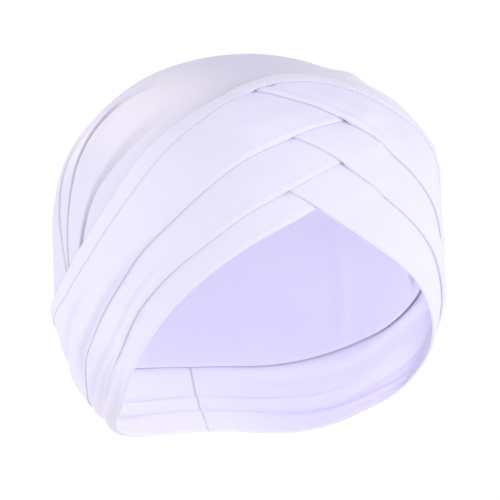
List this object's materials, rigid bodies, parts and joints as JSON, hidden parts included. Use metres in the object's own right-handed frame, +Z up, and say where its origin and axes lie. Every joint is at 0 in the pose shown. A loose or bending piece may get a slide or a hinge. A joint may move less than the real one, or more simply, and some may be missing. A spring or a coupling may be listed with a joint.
{
  "type": "turban hat",
  "caption": "Slip-on turban hat in its worn form: a rounded, gathered crown, a padded edge band and pleats that cross in a braid over the forehead and meet at the nape.",
  "frame": {"origin": "the inner top of the crown, where the wearer's head carries the hat", "axes": "+Z up, the face opening looks toward -Y, +X is the wearer's left; +Y is the longest extent"},
  "size_m": [0.1685, 0.2018, 0.171],
  "materials": {
    "crown": "matte white jersey with a faint lilac tint",
    "top_binding": "matte white jersey, padded and stitched",
    "left_upper_pleat": "matte white jersey",
    "left_middle_pleat": "matte white jersey",
    "left_lower_pleat": "matte white jersey",
    "right_upper_pleat": "matte white jersey",
    "right_middle_pleat": "matte white jersey",
    "right_lower_pleat": "matte white jersey"
  },
  "bodies": {
    "root": {"crown": "crown", "top_binding": "top_binding", "left_upper_pleat": "left_upper_pleat", "left_middle_pleat": "left_middle_pleat", "left_lower_pleat": "left_lower_pleat", "right_upper_pleat": "right_upper_pleat", "right_middle_pleat": "right_middle_pleat", "right_lower_pleat": "right_lower_pleat"}
  },
  "joints": []
}
